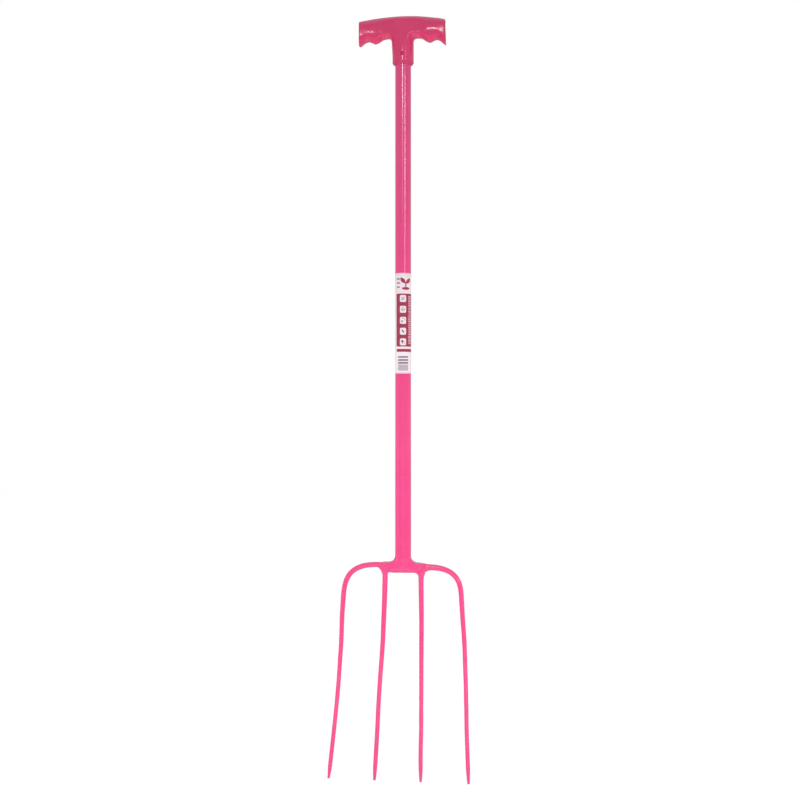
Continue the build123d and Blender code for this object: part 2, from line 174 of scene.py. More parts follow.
def surface(distance, low, high, step):
    """A closed quad mesh of distance = 0 inside a box: one point in each cell that the
    surface crosses, one quad for each grid edge that it crosses."""
    axes = [np.arange(low[k], high[k] + step, step) for k in range(3)]
    grid = np.meshgrid(*axes, indexing="ij")
    value = distance(*grid)
    inside = value < 0
    size = np.array(inside.shape)
    cells = tuple(size - 1)
    total = np.zeros(cells + (3,))
    count = np.zeros(cells)
    crossings = []
    for axis in range(3):
        near, far = [slice(None)] * 3, [slice(None)] * 3
        near[axis], far[axis] = slice(0, -1), slice(1, None)
        near, far = tuple(near), tuple(far)
        crosses = inside[near] != inside[far]
        gap = np.where(crosses, value[near] - value[far], 1.0)
        part = np.where(crosses, value[near] / gap, 0.0)
        crossings.append((crosses, inside[near]))
        # each edge counts towards the four cells around it
        side1, side2 = (axis + 1) % 3, (axis + 2) % 3
        for shift1, shift2 in ((0, 0), (0, 1), (1, 0), (1, 1)):
            window = [slice(None)] * 3
            window[side1] = slice(shift1, shift1 + size[side1] - 1)
            window[side2] = slice(shift2, shift2 + size[side2] - 1)
            window = tuple(window)
            edge = crosses[window]
            count += edge
            for k in range(3):
                base = grid[k][near][window]
                total[..., k] += edge * (base + (part[window] * step if k == axis else 0.0))
    used = count > 0
    index = np.full(cells, -1, np.int64)
    index[used] = np.arange(int(used.sum()))
    points = total[used] / count[used][:, None]

    quads = []
    for axis, (crosses, first_inside) in enumerate(crossings):
        side1, side2 = (axis + 1) % 3, (axis + 2) % 3
        edges = np.argwhere(crosses)
        whole = (
            (edges[:, side1] > 0)
            & (edges[:, side1] < size[side1] - 1)
            & (edges[:, side2] > 0)
            & (edges[:, side2] < size[side2] - 1)
        )
        edges = edges[whole]
        outward = first_inside[tuple(edges.T)]
        ring = []
        for back1, back2 in ((1, 1), (0, 1), (0, 0), (1, 0)):
            cell = edges.copy()
            cell[:, side1] -= back1
            cell[:, side2] -= back2
            ring.append(index[tuple(cell.T)])
        ring = np.stack(ring, 1)
        ring[~outward] = ring[~outward][:, ::-1]
        quads.append(ring)
    quads = np.concatenate(quads)

    points = settle_points(distance, points, step, rounds=4)
    # even out the spacing, and return to the surface each time
    for _ in range(2):
        total = np.zeros_like(points)
        times = np.zeros(len(points))
        for k in range(4):
            a, b = quads[:, k], quads[:, (k + 1) % 4]
            np.add.at(total, a, points[b])
            np.add.at(total, b, points[a])
            np.add.at(times, a, 1)
            np.add.at(times, b, 1)
        points = 0.5 * points + 0.5 * total / times[:, None]
        points = settle_points(distance, points, step, rounds=2)
    return points, quads


def solid(name, distance, low, high, step, material, node):
    """Meshes a distance function and registers it."""
    points, quads = surface(distance, low, high, step)
    register(mesh_object(name, points, quads, [material]), node)


def frames(axis):
    """Unit tangents and two cross directions along a line of points, with little twist."""
    tangent = np.gradient(axis, axis=0)
    tangent /= np.linalg.norm(tangent, axis=1)[:, None]
    cross = np.zeros_like(axis)
    current = np.array([0.0, 1.0, 0.0])
    for k in range(len(axis)):
        current = current - tangent[k] * (current @ tangent[k])
        current = current / np.linalg.norm(current)
        cross[k] = current
    return tangent, cross, np.cross(tangent, cross)


def swept(axis, radii, sides, uneven, seed):
    """A closed round bar along axis: flat at its start, a rounded nose at its end."""
    nose_rings, nose_length = 6, 0.85  # length as a share of the last radius
    tangent, cross1, cross2 = frames(axis)
    last = radii[-1]
    a = np.linspace(0, math.pi / 2, nose_rings + 1)[1:-1]
    tip = axis[-1] + tangent[-1] * (np.sin(a) * last * nose_length)[:, None]
    axis = np.concatenate([axis, tip])
    radii = np.concatenate([radii, last * np.cos(a)])
    cross1 = np.concatenate([cross1, np.repeat(cross1[-1:], len(a), 0)])
    cross2 = np.concatenate([cross2, np.repeat(cross2[-1:], len(a), 0)])
    turn = np.linspace(0, 2 * math.pi, sides, endpoint=False)
    points = (
        axis[:, None, :]
        + cross1[:, None, :] * (np.cos(turn)[None, :, None] * radii[:, None, None])
        + cross2[:, None, :] * (np.sin(turn)[None, :, None] * radii[:, None, None])
    )
    # long swells, with finer ones over them
    out = points - axis[:, None, :]
    xyz = points[..., 0], points[..., 1], points[..., 2]
    push = ripple(*xyz, 26.0, seed) * uneven
    push += ripple(*xyz, 7.0, seed + 1) * uneven * 0.35
    points = points + out / np.maximum(radii[:, None, None], 0.3) * push[..., None]

    rings = len(axis)
    points = points.reshape(-1, 3)
    i = np.arange(rings - 1)[:, None] * sides
    j = np.arange(sides)[None, :]
    j_next = (j + 1) % sides
    body = np.stack([i + j, i + j_next, i + sides + j_next, i + sides + j], -1).reshape(-1, 4)
    faces = [tuple(int(k) for k in row) for row in body]
    first, end = len(points), len(points) + 1
    end_point = axis[-1] + tangent[-1] * (last * nose_length * (1 - math.sin(a[-1])))
    points = np.concatenate([points, axis[:1], end_point[None]])
    for q in range(sides):
        r = (q + 1) % sides
        faces.append((first, r, q))
        faces.append((end, (rings - 1) * sides + q, (rings - 1) * sides + r))
    return points, faces


def part_revolved(profile, sides, start, turn):
    """A closed profile of (r, z) points, counter-clockwise with r to the right and
    z up, turned part of the way round the Z axis, with flat end caps."""
    angle = start + turn * np.arange(sides + 1) / sides
    r, z = np.array(profile).T
    n = len(r)
    points = np.stack(
        [
            r[None, :] * np.cos(angle)[:, None],
            r[None, :] * np.sin(angle)[:, None],
            np.repeat(z[None, :], sides + 1, 0),
        ],
        -1,
    ).reshape(-1, 3)
    faces = []
    for a in range(sides):
        b = a + 1
        for q in range(n):
            s = (q + 1) % n
            faces.append((a * n + q, b * n + q, b * n + s, a * n + s))
    faces.append(tuple(range(n - 1, -1, -1)))
    faces.append(tuple(sides * n + q for q in range(n)))
    return points, faces


# ---------------------------------------------------------------------------
# materials
# ---------------------------------------------------------------------------
class Nodes:
    """A material with a Principled shader, and short ways to add nodes to it."""

    def __init__(self, name):
        self.material = bpy.data.materials.new(name)
        self.material.use_nodes = True
        self.tree = self.material.node_tree
        self.tree.nodes.clear()
        self.out = self.add("OutputMaterial")
        self.shader = self.add("BsdfPrincipled")
        self.link(self.shader.outputs[0], self.out.inputs[0])
        self.place = self.add("TexCoord").outputs["Object"]

    def add(self, kind):
        return self.tree.nodes.new("ShaderNode" + kind)

    def link(self, output, socket):
        self.tree.links.new(output, socket)

    def put(self, socket, value):
        """Links a socket to another, or sets its value."""
        if isinstance(value, bpy.types.NodeSocket):
            self.link(value, socket)
        else:
            socket.default_value = value

    def noise(self, scale, detail=2.0, rough=0.6, distortion=0.0, stretch=None):
        node = self.add("TexNoise")
        node.inputs["Scale"].default_value = scale
        node.inputs["Detail"].default_value = detail
        node.inputs["Roughness"].default_value = rough
        node.inputs["Distortion"].default_value = distortion
        place = self.place
        if stretch:
            mapping = self.add("Mapping")
            mapping.inputs["Scale"].default_value = stretch
            self.link(place, mapping.inputs["Vector"])
            place = mapping.outputs[0]
        self.link(place, node.inputs["Vector"])
        return node.outputs["Fac"]

    def math(self, operation, a, b=0.0):
        node = self.add("Math")
        node.operation = operation
        self.put(node.inputs[0], a)
        self.put(node.inputs[1], b)
        return node.outputs[0]

    def times(self, a, b):
        return self.math("MULTIPLY", a, b)

    def plus(self, base, value, share):
        """base + value * share"""
        return self.math("ADD", base, self.times(value, share))

    def fit(self, value, span, to=(0.0, 1.0)):
        """Eases from to[0] at span[0] to to[1] at span[1]."""
        node = self.add("MapRange")
        node.interpolation_type = "SMOOTHSTEP"
        for name, limit in zip(("From Min", "From Max", "To Min", "To Max"), (*span, *to)):
            node.inputs[name].default_value = limit
        self.put(node.inputs["Value"], value)
        return node.outputs["Result"]

    def mix(self, factor, a, b):
        node = self.add("Mix")
        node.data_type = "RGBA"
        self.put(node.inputs["Factor"], factor)
        sockets = [i for i in node.inputs if i.type == "RGBA"]
        for socket, colour in zip(sockets, (a, b)):
            self.put(socket, (*colour, 1.0) if isinstance(colour, tuple) else colour)
        return [o for o in node.outputs if o.type == "RGBA"][0]

    def clouded(self, noise, a, b):
        """Colour drifting between a and b."""
        return self.mix(self.fit(noise, span=(0.3, 0.7)), a, b)

    def coordinate(self, axis):
        node = self.add("SeparateXYZ")
        self.link(self.place, node.inputs[0])
        return node.outputs["XYZ".index(axis)]

    def edges(self):
        """Above 0.5 on outside edges, below it in hollows."""
        return self.add("NewGeometry").outputs["Pointiness"]

    def bump(self, height, mm, over=None):
        node = self.add("Bump")
        node.inputs["Strength"].default_value = 1.0
        node.inputs["Distance"].default_value = mm * MM
        self.link(height, node.inputs["Height"])
        if over is not None:
            self.link(over, node.inputs["Normal"])
        return node.outputs["Normal"]

    def finish(self, **inputs):
        for name, value in inputs.items():
            self.put(self.shader.inputs[name.replace("_", " ")], value)
        return self.material


def linear(*rgb):
    """Linear colour from 0-255 display values."""
    shares = [c / 255 for c in rgb]
    return tuple(c / 12.92 if c <= 0.04045 else ((c + 0.055) / 1.055) ** 2.4 for c in shares)


PINK = (0.945, 0.052, 0.262)
PINK_DEEP = (0.91, 0.041, 0.240)
PINK_PALE = (0.97, 0.072, 0.305)
# painted shade: the deeper pink laid into hollows
PINK_HOLLOW_SHADE = (0.80, 0.035, 0.22)
PINK_RUBBED = (0.55, 0.10, 0.20)


def paint(name, peel=1.0, worn=0.0, beads=0.0, gloss=0.20):
    """Gloss pink coating over steel: orange peel, thin paint on edges, painted shade
    in hollows, dulled edges, and on welds a rougher surface."""
    n = Nodes(name)
    cloud = n.noise(scale=18.0, detail=3.0, rough=0.55)
    fine = n.noise(scale=240.0)
    colour = n.clouded(cloud, PINK_DEEP, PINK)
    colour = n.mix(n.fit(fine, span=(0.45, 0.8), to=(0.0, 0.35)), colour, PINK_PALE)
    # thin paint on sharp edges, and painted shade, a deeper pink, in hollows
    edge = n.edges()
    speck = n.noise(scale=900.0)
    thin = n.times(n.fit(edge, span=(0.53, 0.60)), n.fit(speck, span=(0.35, 0.65), to=(0.25, 1.0)))
    colour = n.mix(n.times(thin, 0.55), colour, PINK_PALE)
    colour = n.mix(n.fit(edge, span=(0.42, 0.49), to=(0.6, 0.0)), colour, PINK_HOLLOW_SHADE)
    rub = None
    if worn > 0:
        # the coating is rubbed towards the lowest point
        near = n.fit(n.coordinate("Z"), span=(CAD_LOW.z + 0.045, CAD_LOW.z + 0.002))
        scratches = n.noise(scale=420.0, detail=4.0, rough=0.65, stretch=(1.0, 1.0, 0.25))
        scuff = n.fit(scratches, span=(0.52, 0.62))
        rub = n.times(n.times(near, scuff), worn)
        colour = n.mix(rub, colour, PINK_RUBBED)
    rough = n.plus(gloss, n.noise(scale=60.0, detail=3.0), share=0.10)
    rough = n.plus(rough, thin, share=0.12)
    if rub is not None:
        rough = n.plus(rough, rub, share=0.3)
    peel_height = n.noise(scale=330.0, detail=1.5, rough=0.4)
    wave_height = n.noise(scale=70.0, rough=0.4)
    normal = n.bump(wave_height, mm=0.045 * peel)
    normal = n.bump(peel_height, mm=0.014 * peel, over=normal)
    if beads > 0:
        normal = n.bump(n.noise(scale=620.0, detail=3.0), mm=0.12 * beads, over=normal)
    return n.finish(
        Base_Color=colour, Roughness=rough, Normal=normal,
        IOR=1.62, Coat_Weight=1.0, Coat_Roughness=0.07,
    )


def grip_plastic(name):
    """Glossy moulded plastic with flow marks, rubbed edges and a parting line, with painted shade in
    hollows and on the collar's bevel.
    """
    base_a, base_b = (0.84, 0.038, 0.172), (0.89, 0.047, 0.196)
    flow_pale, rubbed = (0.92, 0.060, 0.225), (0.97, 0.105, 0.31)
    hollow_shade, bevel_shade = (0.66, 0.020, 0.13), (0.62, 0.022, 0.115)
    n = Nodes(name)
    cloud = n.noise(scale=30.0, detail=3.0, rough=0.5)
    flow = n.noise(scale=26.0, detail=3.0, rough=0.55, distortion=0.6, stretch=(1.0, 2.2, 2.6))
    colour = n.clouded(cloud, base_a, base_b)
    colour = n.mix(n.fit(flow, span=(0.5, 0.75), to=(0.0, 0.30)), colour, flow_pale)
    edge = n.edges()
    speck = n.noise(scale=700.0)
    rub = n.times(
        n.fit(edge, span=(0.54, 0.62), to=(0.0, 0.7)), n.fit(speck, span=(0.35, 0.7), to=(0.2, 1.0))
    )
    colour = n.mix(rub, colour, rubbed)
    # painted shade: a deeper pink in hollows
    colour = n.mix(n.fit(edge, span=(0.40, 0.48), to=(0.55, 0.0)), colour, hollow_shade)
    # painted shade darkens the bottom of the collar and its downward bevel
    bevel_shade_mask = n.fit(n.coordinate("Z"), span=(0.8128, 0.8146), to=(0.6, 0.0))
    colour = n.mix(bevel_shade_mask, colour, bevel_shade)
    # the parting line of the mould runs round the XZ plane
    from_plane = n.math("ABSOLUTE", n.coordinate("Y"))
    line = n.fit(from_plane, span=(0.00010, 0.00042), to=(1.0, 0.0))
    grain = n.noise(scale=1500.0)
    streaks = n.noise(scale=120.0, detail=5.0, rough=0.7, stretch=(0.25, 3.0, 3.0))
    scratch = n.fit(streaks, span=(0.60, 0.68))
    rough = n.plus(0.17, cloud, share=0.08)
    rough = n.plus(rough, scratch, share=0.10)
    rough = n.plus(rough, line, share=0.08)
    normal = n.bump(line, mm=0.16)
    normal = n.bump(grain, mm=0.012, over=normal)
    normal = n.bump(n.noise(scale=55.0, rough=0.4), mm=0.16, over=normal)
    return n.finish(
        Base_Color=colour, Roughness=rough, Normal=normal,
        IOR=1.49, Coat_Weight=0.6, Coat_Roughness=0.08,
    )


def ink(name, rgb):
    """A printed colour: the base colour is constant, the surface is not."""
    n = Nodes(name)
    rough = n.plus(0.38, n.noise(scale=260.0, detail=3.0), share=0.06)
    normal = n.bump(n.noise(scale=90.0, rough=0.5), mm=0.06)
    normal = n.bump(n.noise(scale=1400.0), mm=0.010, over=normal)
    return n.finish(Base_Color=(*linear(*rgb), 1.0), Roughness=rough, Normal=normal, IOR=1.48)


def label_film(name):
    """Pale film with an upright fibre."""
    n = Nodes(name)
    cloud = n.noise(scale=45.0, detail=3.0, rough=0.55)
    fibre = n.noise(scale=900.0, detail=3.0, stretch=(1.0, 1.0, 0.35))
    colour = n.clouded(cloud, linear(250, 232, 240), linear(254, 241, 246))
    streak = n.fit(fibre, span=(0.5, 0.8), to=(0.0, 0.35))
    colour = n.mix(streak, colour, linear(240, 219, 229))
    # the two ends of the wrap pick up a little dust
    z = n.coordinate("Z")
    top = n.fit(z, span=(0.4752, 0.4776))
    low = n.fit(z, span=(0.3208, 0.3184))
    ends = n.math("MAXIMUM", top, low)
    colour = n.mix(n.times(ends, 0.5), colour, linear(226, 190, 206))
    rough = n.plus(0.34, n.noise(scale=200.0, detail=3.0), share=0.10)
    normal = n.bump(n.noise(scale=75.0, rough=0.5, stretch=(1.0, 1.0, 0.6)), mm=0.10)
    normal = n.bump(fibre, mm=0.012, over=normal)
    return n.finish(Base_Color=colour, Roughness=rough, Normal=normal, IOR=1.48)


def screw_finish(name):
    """Pink screw, with painted shade darkening its recess."""
    n = Nodes(name)
    cloud = n.noise(scale=500.0, detail=3.0)
    colour = n.clouded(cloud, (0.86, 0.050, 0.190), (0.93, 0.065, 0.220))
    # painted shade: a dark pink in the concave places of the head
    hollow_shade = n.fit(n.edges(), span=(0.42, 0.5), to=(0.8, 0.0))
    colour = n.mix(hollow_shade, colour, (0.50, 0.018, 0.085))
    rough = n.plus(0.30, n.noise(scale=1500.0, detail=3.0), share=0.18)
    normal = n.bump(n.noise(scale=2600.0), mm=0.012)
    return n.finish(Base_Color=colour, Metallic=0.1, Roughness=rough, Normal=normal)


def bare_steel(name):
    """Dull grey steel."""
    n = Nodes(name)
    cloud = n.noise(scale=60.0, detail=3.0)
    colour = n.clouded(cloud, (0.20, 0.19, 0.19), (0.32, 0.30, 0.29))
    rough = n.plus(0.42, n.noise(scale=400.0, detail=3.0), share=0.2)
    normal = n.bump(n.noise(scale=500.0), mm=0.03)
    return n.finish(Base_Color=colour, Metallic=0.8, Roughness=rough, Normal=normal)


SHAFT_PAINT = paint("shaft_coating", peel=0.7, gloss=0.13)
TINE_PAINT = paint("tine_coating", worn=0.8)
HEAD_PAINT = paint("head_coating", peel=1.3)
WELD_PAINT = paint("weld_coating", peel=2.0, beads=1.0, gloss=0.12)
GRIP_PLASTIC = grip_plastic("grip_moulding")
SCREW_FINISH = screw_finish("screw_zinc")
BORE_STEEL = bare_steel("tube_bore")
FILM = label_film("label_film")
CRIMSON = ink("print_crimson", (168, 58, 84))
CRIMSON_BRIGHT = ink("print_crimson_bright", (196, 60, 78))
WHITE = ink("print_white", (250, 240, 245))
ROSE = ink("print_rose", (232, 168, 190))
GREY = ink("print_grey", (144, 130, 146))
MAUVE = ink("print_mauve", (176, 132, 152))

# ---------------------------------------------------------------------------
# grip: a crossbar with hollow ends on a round stem
# ---------------------------------------------------------------------------
GRIP_HALF, GRIP_TOP, GRIP_ARCH_R = 68.0, 888.5, 345.0
COLLAR_R, COLLAR_BOTTOM, COLLAR_BEVEL = 17.0, 809.8, 3.6
SOCKET_R, SOCKET_TOP = 12.75, 851.0
CORE_DEPTH, CORE_WALL = 40.0, 3.4  # the hollow in each end
SCREW_Z, SCREW_RECESS_R, SCREW_RECESS_DEPTH = 826.0, 3.1, 2.9
GRIP_STEP = 0.72

# distance from the middle, height of the crossbar's underside
underside = smooth((
    (0.0, 854.6), (14.0, 854.6), (19.0, 854.6), (25.0, 854.4), (31.0, 852.9), (37.0, 848.9),
    (43.5, 846.4), (48.5, 848.4), (54.4, 850.4), (60.0, 848.2), (64.0, 844.6), (67.8, 841.8),
))
# x, half depth of the crossbar: it swells towards the stem, and a little at the left end
half_depth = smooth((
    (-72, 15.1), (-60, 14.6), (-50, 14.1), (-42, 13.8), (-34, 14.1), (-20, 15.6), (-7, 16.6),
    (7, 16.6), (20, 15.9), (30, 15.2), (40, 14.75), (50, 14.2), (60, 13.6), (72, 12.95),
))


def crossbar(x, y, z):
    away = np.abs(x)
    # the section is nearly an ellipse, squarer towards the ends
    power = 2.15 + 0.75 * ramp(away, 50.0, GRIP_HALF)
    # an arched top, slightly higher on the left, slightly lower on the right
    left_rise = 0.35 * ramp(-x, 20.0, 45.0) * (1 - 1.6 * ramp(-x, 52.0, 68.0))
    top = GRIP_TOP + 0.3 - x * x / (2 * GRIP_ARCH_R) + left_rise
    top = top - 0.4 * ramp(x, 20.0, 50.0) - 1.0 * ramp(x, 54.0, 66.0)
    # the height at which the section is deepest
    widest = 863.6 - 0.0008 * x * x + 1.0 * ramp(-x, 20.0, 50.0) + 3.4 * ramp(x, 20.0, 50.0)
    low = underside(away) - 0.7 * ramp(x, -10.0, 20.0) + 1.9 * ramp(-x, 55.0, 64.0)
    deep = half_depth(x)
    dz = z - widest
    rise = np.where(dz > 0, top - widest, widest - low)
    a = np.abs(y) / deep
    b = np.abs(dz) / rise
    size = np.maximum((a**power + b**power) ** (1 / power), 1e-3)
    # first-order distance: the value over the size of its slope
    slope_y = (a / size) ** (power - 1) / deep
    slope_z = (b / size) ** (power - 1) / rise
    return (size - 1) / np.maximum(np.sqrt(slope_y * slope_y + slope_z * slope_z), 1e-3)


def grip_shape(x, y, z):
    true_x = x
    bore_r = np.sqrt(x * x + y * y)
    # the moulding sits 1.4 mm long on its left side
    long_left, left = 1.4, ramp(-x, 4.0, 14.0)
    bar = crossbar(x + long_left * left * ramp(z, 815.0, 836.0), y, z)
    x = x + long_left * ramp(z, 822.0, 852.0) * left
    # slight sinks in the moulding, so that reflections waver
    bar = bar + 0.10 * ripple(x, y * 0.4, z, 21.0, 5) * ramp(np.abs(x), 14.0, 30.0)
    # the round stem, bevelled at its bottom
    r = np.sqrt(x * x + y * y)
    stem = r - COLLAR_R
    bevel = ((r - COLLAR_R) - (z - COLLAR_BOTTOM - COLLAR_BEVEL)) * 0.7071
    stem = soft_max(stem, bevel, 0.8)
    stem = soft_max(stem, COLLAR_BOTTOM - z, 0.6)
    stem = np.maximum(stem, z - 872.0)
    body = soft_min(bar, stem, 7.4)
    # front and back, one sloped panel runs across the bar down onto the stem
    cheek = (np.abs(y) - 16.95 - 1.8 * ramp(np.abs(x), 30.0, 42.0) + 0.115 * (z - 836.0)) * 0.993
    body = soft_max(body, cheek, 1.2)
    # the ends are slightly domed in plan, and the right one leans out downwards
    lean_out = 1.1 * ramp(-z, -882.0, -842.0)
    body = soft_max(body, (true_x + 0.13 * np.abs(y) - 68.2 - lean_out) * 0.991, 1.0)
    body = soft_max(body, (-true_x + 0.13 * np.abs(y) - 71.5) * 0.991, 1.0)
    # hollow the ends, with a wall that thickens inwards
    core = bar + CORE_WALL + 0.012 * (GRIP_HALF - np.abs(x))
    core = soft_max(core, (GRIP_HALF - CORE_DEPTH) - np.abs(x), 4.0)
    body = soft_max(body, -core, 0.9)
    # the socket for the shaft, and the recess for the screw
    socket = soft_max(bore_r - SOCKET_R, z - SOCKET_TOP, 1.0)
    body = soft_max(body, -socket, 0.5)
    seat_r = np.sqrt(true_x * true_x + (z - SCREW_Z) ** 2)
    recess = soft_max(seat_r - SCREW_RECESS_R, y + COLLAR_R - SCREW_RECESS_DEPTH, 0.4)
    return soft_max(body, -recess, 0.5)


solid("grip_moulding", grip_shape, (-73.5, -18.5, 807.8), (72.0, 18.5, 891.0), GRIP_STEP,
      GRIP_PLASTIC, "grip")

# ---------------------------------------------------------------------------
# grip screw: pan head with a cross recess, sunk in the front of the collar
# ---------------------------------------------------------------------------
SEAT_Y = -COLLAR_R + SCREW_RECESS_DEPTH
HEAD_R, HEAD_HEIGHT, DOME_R = 3.0, 2.0, 5.45
SHANK_R, SHANK_END_Y = 1.8, -9.4
THREAD_PITCH, THREAD_DEPTH = 1.4, 0.18
SLOT_HALF_WIDTH, SLOT_HALF_LENGTH, SLOT_DEPTH = 0.40, 1.65, 1.3


def screw_shape(x, y, z):
    r = np.sqrt(x * x + (z - SCREW_Z) ** 2)
    head = soft_max(r - HEAD_R, SEAT_Y - HEAD_HEIGHT - y, 1.0)
    dome = np.sqrt(x * x + (y - (SEAT_Y + 3.4)) ** 2 + (z - SCREW_Z) ** 2) - DOME_R
    head = soft_max(head, dome, 0.3)
    head = soft_max(head, y - SEAT_Y, 0.2)
    shank = soft_max(r - SHANK_R, y - SHANK_END_Y, 0.5)
    shank = np.maximum(shank, SEAT_Y - 0.5 - y)
    turn = np.arctan2(z - SCREW_Z, x)
    threaded = y > SEAT_Y + 0.6
    wave = THREAD_DEPTH * np.sin(2 * math.pi * y / THREAD_PITCH + turn)
    shank = shank + wave * threaded + THREAD_DEPTH * threaded
    body = soft_min(head, shank, 0.3)
    side, up = np.abs(x), np.abs(z - SCREW_Z)
    cross = np.minimum(
        np.maximum(side - SLOT_HALF_WIDTH, up - SLOT_HALF_LENGTH),
        np.maximum(up - SLOT_HALF_WIDTH, side - SLOT_HALF_LENGTH),
    )
    cross = soft_max(cross, y - (SEAT_Y - HEAD_HEIGHT + SLOT_DEPTH), 0.2)
    return soft_max(body, -cross, 0.15)


solid("grip_screw_pan_head", screw_shape, (-3.6, -17.2, SCREW_Z - 3.6),
      (3.6, -9.0, SCREW_Z + 3.6), 0.16, SCREW_FINISH, "grip_screw")

# ---------------------------------------------------------------------------
# shaft tube: outside, bore, top rim and the notched foot
# ---------------------------------------------------------------------------
SHAFT_R, SHAFT_WALL, SHAFT_TOP = 12.7, 1.5, 850.0
BORE_R = SHAFT_R - SHAFT_WALL
FOOT_Z = 8.0
NOTCH_HALF, NOTCH_TOP = 7.05, 16.02  # the foot straddles the bridge
TUBE_SIDES = 96


def tube_rings():
    """Rings of the outside from the foot up and of the bore back down. The lowest
    rings follow the notch."""
    angle = 2 * math.pi * np.arange(TUBE_SIDES) / TUBE_SIDES
    foot_out, foot_in = (
        np.where(np.abs(np.sin(angle)) * r > NOTCH_HALF, FOOT_Z, NOTCH_TOP)
        for r in (SHAFT_R, BORE_R)
    )
    # ease the step over a few degrees
    for _ in range(3):
        eased = 0.25 * np.roll(foot_out, 1) + 0.5 * foot_out + 0.25 * np.roll(foot_out, -1)
        foot_out = np.maximum(foot_out, eased)
        foot_in = np.maximum(foot_in, foot_out)
    levels = np.concatenate([[30.0, 40.0], np.arange(60.0, 841.0, 20.0)])
    outside = [foot_out, foot_out + 2.0, *levels, SHAFT_TOP - 0.4]
    bore = [SHAFT_TOP - 0.4, *levels[::-1], foot_in + 2.0, foot_in]
    stations = [(SHAFT_R, z) for z in outside]
    stations += [(SHAFT_R - 0.25, SHAFT_TOP), (BORE_R + 0.2, SHAFT_TOP)]
    stations += [(BORE_R, z) for z in bore]
    return np.array([
        np.stack([r * np.cos(angle), r * np.sin(angle), np.broadcast_to(z, (TUBE_SIDES,))], 1)
        for r, z in stations
    ])


def build_tube():
    rings = tube_rings()
    count = len(rings)
    faces, slots = [], []
    for a in range(count):
        b = (a + 1) % count
        for c in range(TUBE_SIDES):
            d = (c + 1) % TUBE_SIDES
            faces.append(tuple(k * TUBE_SIDES + m for k, m in ((a, c), (a, d), (b, d), (b, c))))
            slots.append(0 if a < count // 2 else 1)
    tube = mesh_object(
        "shaft_tube_outer", rings.reshape(-1, 3), faces, [SHAFT_PAINT, BORE_STEEL], slots
    )
    register(tube, "shaft_tube")


build_tube()

# ---------------------------------------------------------------------------
# tines
# ---------------------------------------------------------------------------
TINE_R, TINE_LENGTH = 4.2, 312.0
TAPER, TAPER_R, POINT_R = 30.0, 3.36, 1.5  # the drawn-out point
NOSE = 1.3  # the line stops this far short of the tine's length
RUN_ON = 0.0615  # extra drop for each mm of lean

# distance below the bridge, lean to the front
lean = smooth((
    (0.0, 0.0), (30.0, 3.2), (60.0, 5.8), (90.0, 8.0), (110.0, 10.2), (130.0, 14.0),
    (150.0, 19.3), (180.0, 28.2), (210.0, 37.4), (240.0, 46.6), (270.0, 55.8),
    (300.0, 64.8), (312.0, 68.2),
))
# distance below the bridge, distance from the middle
inner_x = smooth((
    (0.0, 29.2), (40.0, 29.5), (80.0, 30.3), (120.0, 31.3), (160.0, 32.6), (200.0, 33.7),
    (240.0, 34.4), (280.0, 35.1), (312.0, 35.7),
))
outer_x = smooth((
    (32.0, 94.2), (50.0, 95.5), (80.0, 97.3), (120.0, 99.2), (160.0, 100.8), (200.0, 102.4),
    (240.0, 104.4), (280.0, 106.6), (312.0, 108.4),
))
# an outer tine's arm, out from the bridge: distance from the middle, height
ARM = (
    (30.0, 10.35), (33.6, 10.3), (43.5, 9.9), (53.1, 9.3), (62.9, 7.6), (72.6, 3.9),
    (80.4, -1.2), (86.2, -7.4), (90.2, -14.6), (92.7, -22.8), (94.2, -32.0),
)
# distance below the bridge, radius
bar_taper = smooth((
    (-20, 4.2), (5, 4.2), (40, 3.98), (76, 3.76), (108, 3.6), (172, 3.45), (240, 3.38),
    (312, 3.35),
))
# Each tine is a little off its drawn line: distance below the bridge, mm to the right.
OFF_LINE = {
    "outer_left": (
        (-12, -1.0), (0, -1.5), (10, -1.6), (44, -1.4), (76, -1.0), (108, 0.1), (140, 0.5),
        (172, 1.0), (204, 1.0), (236, 0.8), (268, 0.5), (300, 0.1), (312, -0.2),
    ),
    "inner_left": (
        (-12, 0.0), (0, 0.2), (44, 0.1), (76, -0.25), (108, -0.4), (140, -0.8), (172, -1.0),
        (204, -0.9), (236, -0.55), (268, -0.55), (300, -0.6), (312, -0.5),
    ),
    "inner_right": (
        (-12, 0.0), (0, -0.4), (44, 0.15), (76, 0.15), (108, -0.4), (140, -0.8), (172, -0.8),
        (204, -0.7), (236, -0.3), (268, -0.5), (300, 0.0), (312, 0.0),
    ),
    "outer_right": (
        (-12, -0.2), (0, -0.4), (10, -0.5), (44, -1.0), (76, -0.7), (108, 0.2), (140, 0.5),
        (172, 1.1), (204, 1.2), (236, 0.9), (268, 1.1), (300, 1.3), (312, 1.3),
    ),
}
# and each arm a little high or low: distance from the middle, rise
left_rise = smooth(((30, 0.5), (36, 1.3), (44, 1.6), (62, 1.5), (80, 1.4), (90, 0.6), (95, 0.0)))
right_rise = smooth((
    (30, -0.5), (36, -0.9), (46, -1.2), (56, -1.1), (70, -0.8), (90, -0.3), (95, 0.0),
))
# the right arm is fuller where it leaves the bridge: distance from the middle, extra radius
arm_swell = smooth(((30, 0.5), (48, 0.6), (56, 0.4), (64, 0.12), (72, 0.0), (200, 0.0)))


def arm_rise(sign):
    return right_rise if sign > 0 else left_rise


def along(points, step):
    """Points evenly spaced along a smooth curve through the given points."""
    gaps = np.linalg.norm(np.diff(points, axis=0), axis=1)
    done = np.concatenate([[0], np.cumsum(gaps)])
    places = np.linspace(0, done[-1], max(int(done[-1] / step), 8))
    return np.stack([smooth(list(zip(done, points[:, k])))(places) for k in range(3)], 1)


def bar_radius(below):
    """Radius against the distance below the underside of the bridge."""
    left = np.clip(TINE_LENGTH - below, 0.0, TAPER)
    point = POINT_R + (TAPER_R - POINT_R) * np.sin(math.pi / 2 * left / TAPER)
    return np.where(TINE_LENGTH - below < TAPER, point, bar_taper(below))


